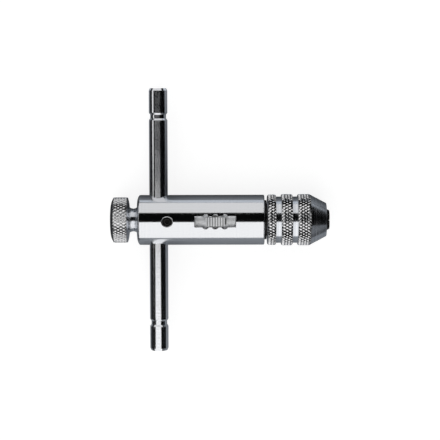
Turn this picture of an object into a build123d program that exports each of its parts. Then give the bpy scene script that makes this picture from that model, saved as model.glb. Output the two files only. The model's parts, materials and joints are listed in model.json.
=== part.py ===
from build123d import *
import math
import os

# Ratchet tap wrench with a sliding T bar, for taps with squares of 2.4 to 5.5 mm.
# Millimetres. X runs along the tool from the knob to the jaws, Y along the bar and
# Z up through the switch window. The origin is the centre of the jaws' front face.

# Fits
slide_fit = 0.03
seat_fit = 0.02
thread_fit = 0.05
face_gap = 0.05

# How far a cutting shape runs past the face it opens, and what counts as touching
overrun = 1.0
touching = 0.001

# Housing
housing_diameter = 19.0
housing_wall = 2.0
housing_edge = 0.3
housing_crown_length = 0.85
housing_crown_drop = 2.4
housing_crown_bow = 0.3
bulkhead_wall = 0.9
bearing_length = 3.1

# Sliding bar
bar_diameter = 7.0
bar_length = 100.0
bar_setback = 8.0
bar_chamfer_length = 0.9
bar_chamfer_drop = 0.45
bar_groove_inset = 10.7
bar_groove_width = 2.75
bar_groove_floor = 1.4
bar_groove_depth = 0.5
bar_bore_edge = 0.5

# Knurled clamp screw and its thrust pad
knob_diameter = 17.2
knob_width = 6.65
knob_crown_length = 1.25
knob_crown_drop = 3.0
knob_crown_bow = 0.45
knob_edge = 0.2
neck_diameter = 8.7
neck_length = 3.45
neck_flare = 0.6
clamp_thread = 6.0
clamp_nose_diameter = 2.0
clamp_nose_length = 0.8
pad_side_gap = 0.4
pad_back_setback = 3.05
pad_wrap = 0.85

# Ball detent on the bar
detent_bore = 3.6
detent_offset = 3.45
detent_edge = 0.35
detent_screw_recess = 0.5
detent_screw_floor = 0.6
detent_hex = 1.8
detent_spring_length = 1.81
detent_spring_wire = 0.35
detent_spring_pitch = 0.49

# Switch window, button and slider
switch_travel = 3.6
button_length = 7.2
button_corner = 0.4
button_side_gap = 0.15
button_proud = 0.1
window_width = 3.7
window_edge = 0.15
window_end_gap = 0.4
scallop_radius = 1.15
scallop_depth = 0.77
slider_lap = 0.3
slider_side_lap = 1.25
slider_thickness = 1.05
slider_top_gap = 0.08
slider_end_gap = 0.3
rib_count = 7
rib_groove = 0.45
rib_depth = 0.45
rib_end_land = 0.435

# Sprung leaves on the button's flanks
leaf_thickness = 0.22
leaf_height = 0.9
leaf_end_wall = 0.6
leaf_bulge_length = 2.2
leaf_recess = 0.5
leaf_below_top = 1.1
leaf_scallop_gap = 0.33

# Sprung plunger under the button
plunger_diameter = 1.6
plunger_length = 1.45
plunger_bore_roof = 0.8
plunger_spring_wire = 0.15
plunger_spring_pitch = 0.22

# Rocker pawl and its pin, hung under the slider
pin_diameter = 1.4
rocker_headroom = 0.35
rocker_width = 3.0
rocker_boss_radius = 1.15
rocker_arm_lift = 0.05
rocker_arm_thickness = 0.85
rocker_overhang = 0.3
nose_length = 1.8
nose_bite = 0.28
nose_width = 1.3
nose_flank_gap = 0.05

# Ratchet wheels and the carrier round them
tooth_count = 12
tooth_height = 0.9
wheel_headroom = 0.6
wheel_rim = 0.39
wheel_width = 4.0
wheel_offset = 6.5
spacer_step = 0.1
carrier_clearance = 0.3
carrier_end_gap = 0.2
rocker_side_gap = 0.15
rocker_end_gap = 0.6

# Spindle bearings
tail_step = 0.1
pilot_step = 0.6
pilot_depth = 1.3
washer_side_gap = 0.2
washer_thickness = 1.0
circlip_groove_depth = 0.45
circlip_thickness = 0.6
circlip_height = 1.1
circlip_lip = 0.8
journal_clearance = 0.05
journal_front_gap = 0.3
snap_ring_section = 0.8
snap_ring_setback = 1.2
snap_ring_split = 2.5

# Chuck sleeve
sleeve_step = 0.25
sleeve_gap = 1.1
rear_band_drop = 0.15
sleeve_rear_chamfer = 1.0
sleeve_rear_chamfer_drop = 0.75
sleeve_nose_edge = 0.2
rear_band = 3.3
middle_band = 4.25
front_band = 4.35
sleeve_groove_width = 2.0
sleeve_groove_depth = 0.95
sleeve_wall = 1.4
nose_cone_length = 6.55
sleeve_nose_diameter = 12.8
mouth_diameter = 8.2
cone_angle = 25.3
chuck_thread_height = 0.45
sleeve_thread_length = 8.8
sleeve_thread_setback = 1.8
stop_ring_setback = 0.4
stop_ring_width = 0.8
stop_ring_reach = 0.85
stop_margin = 0.15
relief_clearance = 0.1
fork_nose_clearance = 0.26
fork_nose_setback = 4.8
fork_taper_length = 3.0

# Jaws
smallest_square = 2.4
largest_square = 5.5
jaw_length = 12.0
jaw_width = 5.9
jaw_protrusion = 1.15
jaw_bore_clearance = 0.46
jaw_mouth_gap = 0.04
jaw_face_gap = 0.3
jaw_spring_inset = 1.4
jaw_spring_pocket = 1.9
jaw_spring_pocket_diameter = 2.3
jaw_spring_wire = 0.3
jaw_spring_pitch = 0.72

# Radii worked inwards from the housing: bore, slider, pawl, wheels, spindle
housing_radius = housing_diameter / 2
bore_radius = housing_radius - housing_wall
bar_radius = bar_diameter / 2
bar_bore_radius = bar_radius + slide_fit
slider_top_radius = bore_radius - slider_top_gap
slider_underside = bore_radius - slider_thickness
button_top = housing_radius + button_proud
button_floor = button_top - rib_depth - plunger_bore_roof
pin_height = slider_underside - rocker_headroom - rocker_boss_radius
plunger_bottom = pin_height + rocker_boss_radius + face_gap
rocker_arm_underside = pin_height + rocker_arm_lift
wheel_tip_radius = rocker_arm_underside - wheel_headroom
wheel_root_radius = wheel_tip_radius - tooth_height
nose_bottom = wheel_tip_radius - nose_bite
carrier_bore_radius = wheel_tip_radius + carrier_clearance
drive_square = (wheel_root_radius - wheel_rim) * math.sqrt(2)
tail_radius = drive_square / 2 - tail_step
pilot_radius = tail_radius - pilot_step
circlip_groove_radius = tail_radius - circlip_groove_depth
journal_radius = bore_radius - journal_clearance
pin_top = pin_height + pin_diameter / 2
pin_length = 2 * math.sqrt(bore_radius ** 2 - pin_top ** 2) - 2 * face_gap

# Radii of the chuck, and how far its jaws and sleeve travel
sleeve_radius = housing_radius + sleeve_step
sleeve_groove_radius = sleeve_radius - sleeve_groove_depth
sleeve_bore_radius = sleeve_groove_radius - sleeve_wall
chuck_thread_radius = sleeve_bore_radius - chuck_thread_height
stop_ring_radius = chuck_thread_radius - stop_ring_reach
relief_radius = stop_ring_radius - relief_clearance
cone_slope = math.tan(math.radians(cone_angle))
jaw_travel = (largest_square - smallest_square) / math.sqrt(2)
sleeve_travel = jaw_travel / cone_slope
jaw_radius = sleeve_bore_radius - jaw_travel - jaw_bore_clearance
mouth_radius = mouth_diameter / 2 + jaw_mouth_gap
vee_depth = smallest_square / math.sqrt(2)

# Lengths that follow from what they hold
window_length = button_length + 2 * (switch_travel + window_end_gap)
slider_length = window_length + 2 * (switch_travel + slider_lap)
slider_width = window_width + 2 * slider_side_lap
button_width = window_width - 2 * button_side_gap
leaf_length = button_length - 2 * leaf_end_wall
rib_pitch = (button_length - 2 * rib_end_land - rib_groove) / (rib_count - 1)
slider_reach = slider_length / 2 + switch_travel
sleeve_bands = rear_band + middle_band + front_band
sleeve_length = sleeve_bands + 2 * sleeve_groove_width + nose_cone_length

# Setbacks from the housing's rear face: bar, detent, bulkhead, switch, journal, front
detent_setback = bar_setback + detent_offset
mechanism_setback = detent_setback + detent_bore / 2 + bulkhead_wall
window_setback = mechanism_setback + slider_end_gap + slider_reach
carrier_setback = window_setback + slider_reach + carrier_end_gap
journal_setback = carrier_setback + carrier_end_gap
housing_length = journal_setback + bearing_length

# Stations along the tool, from the jaws' face backwards and then from the rear face
mouth_x = -jaw_protrusion
sleeve_rear_x = mouth_x - sleeve_length
housing_front_x = sleeve_rear_x - sleeve_gap
housing_rear_x = housing_front_x - housing_length
bar_x = housing_rear_x + bar_setback
detent_x = housing_rear_x + detent_setback
mechanism_rear_x = housing_rear_x + mechanism_setback
window_x = housing_rear_x + window_setback
carrier_front_x = housing_rear_x + carrier_setback
journal_rear_x = housing_rear_x + journal_setback
journal_front_x = sleeve_rear_x - journal_front_gap
snap_ring_x = housing_front_x - snap_ring_setback
front_wheel_x = window_x + wheel_offset
rear_wheel_x = window_x - wheel_offset
fork_slot_rear_x = -jaw_length - face_gap
relief_front_x = sleeve_rear_x + stop_ring_setback + stop_ring_width + sleeve_travel + stop_margin


def turned(points):
    """A solid of revolution about X, from (x, radius) points that start and end on the axis."""
    return revolve(make_face(Polyline(points, close=True)), Axis.X)


def crowned_end(rear_x, length, radius, drop, bow):
    """The outline of a bulging rear end, from the axis out to the full radius."""
    flat_radius = radius - drop
    middle = (rear_x + length / 2 - bow, radius - drop / 2)
    outline = Line((rear_x, 0), (rear_x, flat_radius))
    return outline + ThreePointArc((rear_x, flat_radius), middle, (rear_x + length, radius))


def facing_forward(x):
    """The plane across the tool at a station, with Y to the right and Z up."""
    return Plane(origin=(x, 0, 0), x_dir=(0, 1, 0), z_dir=(1, 0, 0))


def disc(rear_x, front_x, radius):
    """A cylinder along X between two stations."""
    return extrude(facing_forward(rear_x) * Circle(radius), front_x - rear_x)


def ring(rear_x, front_x, outer, inner):
    return disc(rear_x, front_x, outer) - disc(rear_x - overrun, front_x + overrun, inner)


def block(x_range, y_range, z_range):
    """A box given by its low and high value along each axis."""
    spans = [high - low for low, high in (x_range, y_range, z_range)]
    middle = [(low + high) / 2 for low, high in (x_range, y_range, z_range)]
    return Pos(*middle) * Box(*spans)


def upright(x, bottom, top, radius):
    """A cylinder along Z."""
    return Pos(x, 0, (bottom + top) / 2) * Cylinder(radius, top - bottom)


def crosswise(x, z, radius, length):
    """A cylinder along Y, centred on the XZ plane."""
    return Pos(x, 0, z) * Rot(90, 0, 0) * Cylinder(radius, length)


def coil_spring(mean_radius, wire, length, pitch):
    """A compression spring along Z from the origin. Its fine wire has a six-sided section."""
    path = Helix(pitch=pitch, height=length - wire, radius=mean_radius)
    section = Plane(origin=path @ 0, z_dir=path % 0) * RegularPolygon(wire / 2, 6)
    return Pos(0, 0, wire / 2) * sweep(section, path, is_frenet=True)


def cone_radius(x):
    """Radius of the sleeve's inner cone, on which the jaws close, at a station."""
    return mouth_radius + (mouth_x - x) * cone_slope


def window_outline():
    """The switch window seen from above: a slot with three pairs of rounded scallops."""
    outline = Rectangle(window_length, window_width)
    reach = window_width / 2 + scallop_depth - scallop_radius
    for step in (-1, 0, 1):
        for side in (-1, 1):
            outline += Pos(step * switch_travel, side * reach) * Circle(scallop_radius)
    return outline


def snap_ring_groove_radius():
    return bore_radius + snap_ring_section / 2 - slide_fit


def housing_rims(shell, middle_x, reach):
    """The edges that a cut leaves on the housing's outside, as far as it reaches."""
    def on_outside(edge):
        points = (edge @ 0, edge @ 0.5, edge @ 1)
        return all(
            abs(math.hypot(point.Y, point.Z) - housing_radius) < touching
            and abs(point.X - middle_x) < reach + touching
            for point in points
        )
    return shell.edges().filter_by(on_outside)


def make_body_shell():
    outline = crowned_end(housing_rear_x, housing_crown_length, housing_radius,
                          housing_crown_drop, housing_crown_bow)
    outline += Polyline(
        (housing_rear_x + housing_crown_length, housing_radius),
        (housing_front_x - housing_edge, housing_radius),
        (housing_front_x, housing_radius - housing_edge),
        (housing_front_x, 0),
        (housing_rear_x, 0),
    )
    shell = revolve(make_face(outline), Axis.X)
    shell -= crosswise(bar_x, 0, bar_bore_radius, 2 * housing_diameter)
    shell = chamfer(housing_rims(shell, bar_x, bar_bore_radius), bar_bore_edge)
    shell -= Pos(window_x, 0, 0) * extrude(window_outline(), housing_diameter)
    shell = chamfer(housing_rims(shell, window_x, window_length / 2), window_edge)
    shell -= disc(mechanism_rear_x, housing_front_x + overrun, bore_radius)
    groove_radius = snap_ring_groove_radius() + slide_fit
    groove_half = snap_ring_section / 2 + face_gap
    shell -= disc(snap_ring_x - groove_half, snap_ring_x + groove_half, groove_radius)
    shell -= disc(housing_rear_x - overrun, bar_x, clamp_thread / 2)
    shell -= disc(mechanism_rear_x - pilot_depth, mechanism_rear_x + overrun,
                  pilot_radius + slide_fit)
    bore_floor = ball_height() - ball_radius()
    shell -= upright(detent_x, bore_floor, housing_diameter, detent_bore / 2)
    countersink = Cone(detent_bore / 2, detent_bore / 2 + 2 * detent_edge, 2 * detent_edge)
    shell -= Pos(detent_x, 0, housing_radius) * countersink
    return shell


def make_sliding_bar():
    half = bar_length / 2
    tip_radius = bar_radius - bar_chamfer_drop
    groove_middle = half - bar_groove_inset
    floor_radius = bar_radius - bar_groove_depth
    points = [(0, 0), (0, bar_radius)]
    points += [
        (groove_middle - bar_groove_width / 2, bar_radius),
        (groove_middle - bar_groove_floor / 2, floor_radius),
        (groove_middle + bar_groove_floor / 2, floor_radius),
        (groove_middle + bar_groove_width / 2, bar_radius),
    ]
    points += [(half - bar_chamfer_length, bar_radius), (half, tip_radius), (half, 0)]
    half_bar = turned(points)
    bar = half_bar + mirror(half_bar, Plane.YZ)
    return Pos(bar_x, 0, 0) * Rot(0, 0, 90) * bar


def make_clamp_screw():
    """Knurled knob, waisted neck and threaded stem, turned from one bar."""
    neck_front = housing_rear_x - face_gap
    knob_front = neck_front - neck_length
    knob_rear = knob_front - knob_width
    neck_radius = neck_diameter / 2
    knob_radius = knob_diameter / 2
    stem_front = housing_rear_x + pad_back_setback - face_gap
    stem_radius = clamp_thread / 2 - thread_fit
    nose_radius = clamp_nose_diameter / 2
    nose_front = stem_front + clamp_nose_length
    knob = crowned_end(knob_rear, knob_crown_length, knob_radius, knob_crown_drop,
                       knob_crown_bow)
    knob += Polyline(
        (knob_rear + knob_crown_length, knob_radius),
        (knob_front - knob_edge, knob_radius),
        (knob_front, knob_radius - knob_edge),
        (knob_front, neck_radius + neck_flare),
    )
    stem = Polyline(
        (knob_rear, 0),
        (nose_front, 0),
        (nose_front, nose_radius),
        (stem_front, nose_radius),
        (stem_front, stem_radius),
        (neck_front, stem_radius),
        (neck_front, neck_radius + neck_flare),
    )
    waist = ThreePointArc(
        (neck_front, neck_radius + neck_flare),
        ((knob_front + neck_front) / 2, neck_radius),
        (knob_front, neck_radius + neck_flare),
    )
    return revolve(make_face(knob + stem + waist), Axis.X)


def make_clamp_pad():
    """Thrust pad with a saddle for the bar and a pocket for the screw's nose."""
    back = housing_rear_x + pad_back_setback
    front = bar_x - bar_radius + pad_wrap
    pocket_end = back + clamp_nose_length
    pad = disc(back, front, clamp_thread / 2 - pad_side_gap)
    pad -= crosswise(bar_x, 0, bar_radius + seat_fit, 2 * clamp_thread)
    pad -= disc(back - overrun, pocket_end, clamp_nose_diameter / 2 + thread_fit)
    return pad


def ball_radius():
    return detent_bore / 2 - face_gap


def ball_height():
    """Height of the detent ball's centre when it rests on the bar's flank."""
    reach = bar_radius + ball_radius() + seat_fit
    return math.sqrt(reach ** 2 - detent_offset ** 2)


def detent_spring_bottom():
    return ball_height() + ball_radius() + seat_fit


def make_detent_ball():
    return Pos(detent_x, 0, ball_height()) * Sphere(ball_radius())


def make_detent_spring():
    mean_radius = detent_bore / 2 - detent_spring_wire
    spring = coil_spring(mean_radius, detent_spring_wire, detent_spring_length,
                         detent_spring_pitch)
    return Pos(detent_x, 0, detent_spring_bottom()) * spring


def make_detent_screw():
    """Grub screw that closes the bore, from the spring's upper end to below the surface."""
    bottom = detent_spring_bottom() + detent_spring_length + seat_fit
    top = housing_radius - detent_screw_recess
    screw = upright(detent_x, bottom, top, detent_bore / 2 - seat_fit)
    socket = RegularPolygon(detent_hex / 2, 6, major_radius=False)
    screw -= Pos(detent_x, 0, bottom + detent_screw_floor) * extrude(socket, housing_diameter)
    return screw


def leaf_height_range():
    top = button_top - leaf_below_top
    return top - leaf_height, top


def make_switch_slider():
    """Plate that closes the window from inside, with the ribbed thumb button on it."""
    half = slider_length / 2
    plate = disc(-half, half, slider_top_radius)
    plate &= block((-half, half), (-slider_width / 2, slider_width / 2),
                   (slider_underside, bore_radius))
    button = block((-button_length / 2, button_length / 2),
                   (-button_width / 2, button_width / 2), (slider_underside, button_top))
    button = fillet(button.edges().filter_by(Axis.Z), button_corner)
    slider = plate + button
    first = -(rib_count - 1) / 2 * rib_pitch
    for index in range(rib_count):
        middle = first + index * rib_pitch
        slider -= block((middle - rib_groove / 2, middle + rib_groove / 2),
                        (-button_width, button_width),
                        (button_top - rib_depth, button_top + overrun))
    low, high = leaf_height_range()
    recess_floor = button_width / 2 - leaf_recess
    for side in (-1, 1):
        flank = sorted((side * recess_floor, side * button_width))
        slider -= block((-leaf_length / 2 - face_gap, leaf_length / 2 + face_gap), flank,
                        (low - face_gap, high + face_gap))
    slider -= upright(0, slider_underside - overrun, button_floor,
                      plunger_diameter / 2 + slide_fit)
    return Pos(window_x, 0, 0) * slider


def make_switch_detent_springs():
    """A bowed leaf on each flank of the button, whose bulge sits in the scallops."""
    low, high = leaf_height_range()
    flat = button_width / 2 - leaf_recess + leaf_thickness / 2 + seat_fit
    crest = window_width / 2 + scallop_depth - leaf_scallop_gap - leaf_thickness / 2
    half = leaf_length / 2 - leaf_thickness / 2
    bulge = leaf_bulge_length / 2
    leaf_line = Line((-half, flat), (-bulge, flat))
    leaf_line += ThreePointArc((-bulge, flat), (0, crest), (bulge, flat))
    leaf_line += Line((bulge, flat), (half, flat))
    leaf = extrude(trace(leaf_line, leaf_thickness), high - low)
    leaf = Pos(window_x, 0, low) * leaf
    return Compound([leaf, mirror(leaf, Plane.XZ)])


def make_switch_plunger():
    radius = plunger_diameter / 2
    middle = plunger_bottom + radius
    shank = upright(window_x, middle, plunger_bottom + plunger_length, radius)
    return shank + Pos(window_x, 0, middle) * Sphere(radius)


def make_plunger_spring():
    bottom = plunger_bottom + plunger_length + seat_fit
    length = button_floor - seat_fit - bottom
    mean_radius = plunger_diameter / 2 - plunger_spring_wire / 2 - face_gap
    spring = coil_spring(mean_radius, plunger_spring_wire, length, plunger_spring_pitch)
    return Pos(window_x, 0, bottom) * spring


def ratchet_wheel(middle_x, hand):
    """Saw-toothed wheel with a square bore. A hand of 1 or -1 sets which way it runs free."""
    tooth = 2 * math.pi / tooth_count
    points = []
    for index in range(tooth_count):
        angle = math.pi / 2 + hand * index * tooth
        for radius in (wheel_root_radius, wheel_tip_radius):
            points.append((radius * math.cos(angle), radius * math.sin(angle)))
    rear = middle_x - wheel_width / 2
    wheel = extrude(facing_forward(rear) * make_face(Polyline(points, close=True)), wheel_width)
    half_bore = drive_square / 2 + seat_fit
    across = (-half_bore, half_bore)
    return wheel - block((rear - overrun, rear + wheel_width + overrun), across, across)


def make_wheel_spacer():
    corner = drive_square / math.sqrt(2) + face_gap
    rear = rear_wheel_x + wheel_width / 2 + seat_fit
    front = front_wheel_x - wheel_width / 2 - seat_fit
    return ring(rear, front, wheel_root_radius + spacer_step, corner)


def nose(middle_x, hand):
    """One pawl nose: an upright flank beside the tooth face and a foot along the ramp."""
    near = hand * nose_flank_gap
    far = hand * (nose_flank_gap + nose_width)
    ramp_rise = nose_width * (wheel_tip_radius - wheel_root_radius) / wheel_tip_radius
    top = rocker_arm_underside + face_gap
    points = [(near, nose_bottom), (near, top), (far, top), (far, nose_bottom + ramp_rise)]
    place = facing_forward(middle_x - nose_length / 2)
    return extrude(place * make_face(Polyline(points, close=True)), nose_length)


def make_rocker_pawl():
    """See-saw pawl on one cross pin, with a nose over each ratchet wheel."""
    reach = wheel_offset + nose_length / 2 + rocker_overhang
    boss_top = pin_height + rocker_boss_radius
    arm_top = rocker_arm_underside + rocker_arm_thickness
    outline = Polyline(
        [(-reach, arm_top), (-rocker_boss_radius / 2, boss_top),
         (rocker_boss_radius / 2, boss_top), (reach, arm_top),
         (reach, rocker_arm_underside), (-reach, rocker_arm_underside)],
        close=True,
    )
    side = make_face(outline) + Pos(0, pin_height) * Circle(rocker_boss_radius)
    side -= Pos(0, pin_height) * Circle(pin_diameter / 2 + slide_fit)
    rocker = extrude(Plane.XZ * side, rocker_width / 2, both=True)
    rocker = Pos(window_x, 0, 0) * rocker
    return rocker + nose(rear_wheel_x, -1) + nose(front_wheel_x, 1)


def make_pawl_pin():
    return crosswise(window_x, pin_height, pin_diameter / 2, pin_length)


def make_pawl_carrier():
    """Sleeve pressed into the housing that holds the pawl's pin and guides the slider."""
    rear = mechanism_rear_x + face_gap
    front = carrier_front_x
    carrier = ring(rear, front, bore_radius - seat_fit, carrier_bore_radius)
    channel = slider_width / 2 + face_gap
    floor = slider_underside - face_gap
    carrier -= block((rear - overrun, front + overrun), (-channel, channel), (floor, housing_radius))
    slot = rocker_width / 2 + rocker_side_gap
    reach = wheel_offset + nose_length / 2 + rocker_overhang + rocker_end_gap
    carrier -= block((window_x - reach, window_x + reach), (-slot, slot), (0, housing_radius))
    carrier -= crosswise(window_x, pin_height, pin_diameter / 2 + seat_fit, pin_length + face_gap)
    return carrier


def make_spindle():
    """Pilot, square drive, bearing journal, male thread and the fork that holds the jaws."""
    wheels_front = front_wheel_x + wheel_width / 2
    wheels_rear = rear_wheel_x - wheel_width / 2
    washer_front = mechanism_rear_x + washer_thickness + 2 * seat_fit
    pilot_rear = mechanism_rear_x - pilot_depth + face_gap
    nose_x = -fork_nose_setback
    nose_radius = cone_radius(nose_x) - fork_nose_clearance
    spindle = turned([
        (pilot_rear, 0),
        (pilot_rear, pilot_radius),
        (washer_front, pilot_radius),
        (washer_front, tail_radius),
        (wheels_rear, tail_radius),
        (wheels_rear, 0),
    ])
    across = (-drive_square / 2, drive_square / 2)
    spindle += block((wheels_rear, wheels_front + overrun), across, across)
    spindle += turned([
        (wheels_front + seat_fit, 0),
        (wheels_front + seat_fit, wheel_tip_radius),
        (journal_rear_x, wheel_tip_radius),
        (journal_rear_x, journal_radius),
        (journal_front_x, journal_radius),
        (journal_front_x, relief_radius),
        (relief_front_x, relief_radius),
        (relief_front_x, chuck_thread_radius),
        (nose_x - fork_taper_length, chuck_thread_radius),
        (nose_x, nose_radius),
        (nose_x, 0),
    ])
    groove_half = snap_ring_section / 2 + face_gap
    groove_floor = journal_radius - snap_ring_section / 2 - face_gap
    spindle -= ring(snap_ring_x - groove_half, snap_ring_x + groove_half, bore_radius, groove_floor)
    circlip_front = wheels_rear - seat_fit
    spindle -= ring(circlip_front - circlip_thickness - face_gap, circlip_front,
                    tail_radius + overrun, circlip_groove_radius)
    slot = jaw_width / 2 + face_gap
    spindle -= block((fork_slot_rear_x, 0), (-housing_radius, housing_radius), (-slot, slot))
    return spindle


def make_thrust_washer():
    rear = mechanism_rear_x + seat_fit
    outer = carrier_bore_radius - washer_side_gap
    return ring(rear, rear + washer_thickness, outer, pilot_radius + slide_fit)


def make_wheel_clip():
    """Open circlip behind the rear wheel."""
    front = rear_wheel_x - wheel_width / 2 - seat_fit
    rear = front - circlip_thickness
    outer = tail_radius + circlip_height
    circlip = ring(rear, front, outer, circlip_groove_radius + seat_fit)
    mouth = tail_radius - circlip_lip
    return circlip - block((rear - overrun, front + overrun), (-mouth, mouth), (-2 * outer, 0))


def make_retaining_ring():
    """Hidden snap ring, half in the housing's groove and half in the journal's."""
    outer = snap_ring_groove_radius()
    inner = journal_radius - snap_ring_section / 2
    half = snap_ring_section / 2
    snap = ring(snap_ring_x - half, snap_ring_x + half, outer, inner)
    gap = snap_ring_split / 2
    return snap - block((snap_ring_x - half - overrun, snap_ring_x + half + overrun), (-gap, gap),
                        (-housing_diameter, 0))


def make_chuck_sleeve():
    """Grip sleeve: three bands, two grooves, a cone outside and its matching cone inside."""
    rear_radius = sleeve_radius - rear_band_drop
    chamfer_end = sleeve_rear_x + sleeve_rear_chamfer
    rear_groove = sleeve_rear_x + rear_band
    middle_start = rear_groove + sleeve_groove_width
    front_groove = middle_start + middle_band
    front_start = front_groove + sleeve_groove_width
    cone_start = front_start + front_band
    nose_radius = sleeve_nose_diameter / 2
    bore_front_x = mouth_x - (sleeve_bore_radius - mouth_radius) / cone_slope
    thread_radius = chuck_thread_radius + thread_fit
    thread_rear = sleeve_rear_x + sleeve_thread_setback
    thread_front = thread_rear + sleeve_thread_length
    outside = [
        (sleeve_rear_x, 0),
        (sleeve_rear_x, rear_radius - sleeve_rear_chamfer_drop),
        (chamfer_end, rear_radius),
        (rear_groove, rear_radius),
        (rear_groove, sleeve_groove_radius),
        (middle_start, sleeve_groove_radius),
        (middle_start, sleeve_radius),
        (front_groove, sleeve_radius),
        (front_groove, sleeve_groove_radius),
        (front_start, sleeve_groove_radius),
        (front_start, sleeve_radius),
        (cone_start, sleeve_radius),
        (mouth_x - sleeve_nose_edge, nose_radius),
        (mouth_x, nose_radius - sleeve_nose_edge),
        (mouth_x, 0),
    ]
    inside = [
        (sleeve_rear_x - overrun, 0),
        (sleeve_rear_x - overrun, sleeve_bore_radius),
        (thread_rear, sleeve_bore_radius),
        (thread_rear, thread_radius),
        (thread_front, thread_radius),
        (thread_front, sleeve_bore_radius),
        (bore_front_x, sleeve_bore_radius),
        (mouth_x, mouth_radius),
        (mouth_x + overrun, mouth_radius),
        (mouth_x + overrun, 0),
    ]
    return turned(outside) - turned(inside)


def make_sleeve_stop_ring():
    """Ring seated in the sleeve's rear bore that stops it from running off the thread."""
    rear = sleeve_rear_x + stop_ring_setback
    return ring(rear, rear + stop_ring_width, sleeve_bore_radius - slide_fit, stop_ring_radius)


def jaw_spring_x():
    return -jaw_length + jaw_spring_inset


def make_jaw():
    """The upper jaw. Its outside follows the sleeve's cone and its inside is a 90 degree V."""
    tip_radius = mouth_diameter / 2 - jaw_protrusion * cone_slope
    cone_end = -(jaw_radius - tip_radius) / cone_slope
    jaw = turned([
        (-jaw_length, 0),
        (-jaw_length, jaw_radius),
        (cone_end, jaw_radius),
        (0, tip_radius),
        (0, 0),
    ])
    jaw &= block((-jaw_length, 0), (jaw_face_gap / 2, jaw_radius),
                 (-jaw_width / 2, jaw_width / 2))
    vee = make_face(Polyline([(0, -vee_depth), (vee_depth, 0), (0, vee_depth)], close=True))
    jaw -= extrude(facing_forward(-jaw_length - overrun) * vee, jaw_length + 2 * overrun)
    pocket = jaw_spring_pocket + vee_depth
    jaw -= Pos(jaw_spring_x(), pocket / 2, 0) * Rot(90, 0, 0) * Cylinder(
        jaw_spring_pocket_diameter / 2, pocket
    )
    return jaw


def make_jaw_spring():
    """Spring across the jaws' rear ends that parts them when the sleeve runs forward."""
    reach = jaw_spring_pocket + vee_depth - seat_fit
    mean_radius = jaw_spring_pocket_diameter / 2 - jaw_spring_wire
    spring = coil_spring(mean_radius, jaw_spring_wire, 2 * reach, jaw_spring_pitch)
    return Pos(jaw_spring_x(), -reach, 0) * Rot(-90, 0, 0) * spring


def main():
    jaw = make_jaw()
    pieces = {
        "body_shell": make_body_shell(),
        "sliding_bar": make_sliding_bar(),
        "clamp_screw": make_clamp_screw(),
        "clamp_pad": make_clamp_pad(),
        "detent_ball": make_detent_ball(),
        "detent_spring": make_detent_spring(),
        "detent_screw": make_detent_screw(),
        "switch_slider": make_switch_slider(),
        "switch_detent_springs": make_switch_detent_springs(),
        "switch_plunger": make_switch_plunger(),
        "plunger_spring": make_plunger_spring(),
        "rocker_pawl": make_rocker_pawl(),
        "pawl_pin": make_pawl_pin(),
        "pawl_carrier": make_pawl_carrier(),
        "ratchet_wheel_rear": ratchet_wheel(rear_wheel_x, -1),
        "ratchet_wheel_front": ratchet_wheel(front_wheel_x, 1),
        "wheel_spacer": make_wheel_spacer(),
        "wheel_clip": make_wheel_clip(),
        "thrust_washer": make_thrust_washer(),
        "retaining_ring": make_retaining_ring(),
        "spindle": make_spindle(),
        "sleeve_stop_ring": make_sleeve_stop_ring(),
        "chuck_sleeve": make_chuck_sleeve(),
        "jaw_upper": jaw,
        "jaw_lower": mirror(jaw, Plane.XZ),
        "jaw_spring": make_jaw_spring(),
    }
    os.makedirs("parts", exist_ok=True)
    for name, piece in pieces.items():
        export_step(piece, f"parts/{name}.step")


main()
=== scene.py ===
# %% [markdown]
# A ratchet tap wrench is nearly all metal: a chromed barrel, a chromed cross bar, a knurled
# chuck and knob, and small black parts. Its solids come ready made at their real size, in
# one frame of reference, so this lesson never moves them. It gives every piece its finish,
# cuts the knurling and the thread as real mesh, and sets up the light that chrome needs.
# Loading the solids first and measuring them means that nothing has to be fitted by eye.

# %% Load the solids and measure them
import json
import math

import bmesh
import bpy
from mathutils import Matrix, Vector


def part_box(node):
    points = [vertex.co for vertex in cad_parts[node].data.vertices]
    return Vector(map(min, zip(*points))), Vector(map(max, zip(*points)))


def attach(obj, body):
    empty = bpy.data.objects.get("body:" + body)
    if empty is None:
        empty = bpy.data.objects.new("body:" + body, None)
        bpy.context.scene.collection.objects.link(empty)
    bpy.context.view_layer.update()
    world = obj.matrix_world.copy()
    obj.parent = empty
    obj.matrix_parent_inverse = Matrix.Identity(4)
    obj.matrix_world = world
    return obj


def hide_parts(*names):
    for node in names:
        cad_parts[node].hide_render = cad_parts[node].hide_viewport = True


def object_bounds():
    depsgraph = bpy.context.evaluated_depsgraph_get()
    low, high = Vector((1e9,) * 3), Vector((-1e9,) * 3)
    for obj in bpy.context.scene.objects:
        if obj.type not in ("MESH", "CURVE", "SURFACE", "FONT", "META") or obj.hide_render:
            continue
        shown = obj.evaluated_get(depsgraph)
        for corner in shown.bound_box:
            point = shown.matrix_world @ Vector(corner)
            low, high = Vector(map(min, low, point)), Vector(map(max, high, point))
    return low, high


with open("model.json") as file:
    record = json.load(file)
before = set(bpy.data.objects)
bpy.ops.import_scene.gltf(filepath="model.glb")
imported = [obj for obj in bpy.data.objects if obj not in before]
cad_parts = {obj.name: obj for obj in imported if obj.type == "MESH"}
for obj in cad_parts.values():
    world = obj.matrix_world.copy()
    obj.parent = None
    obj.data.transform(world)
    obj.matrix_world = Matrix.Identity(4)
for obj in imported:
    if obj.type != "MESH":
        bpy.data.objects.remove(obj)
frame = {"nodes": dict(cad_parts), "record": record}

solid_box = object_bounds()
mm = 0.001
nodes = frame["nodes"]


def station_box(node):
    """A node's lowest and highest corners in millimetres, the unit of the tool's sizes."""
    low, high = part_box(node)
    return low / mm, high / mm


sides = [round(side / mm, 2) for side in solid_box[1] - solid_box[0]]
print("solids:", len(nodes), "size in mm:", sides)

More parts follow.
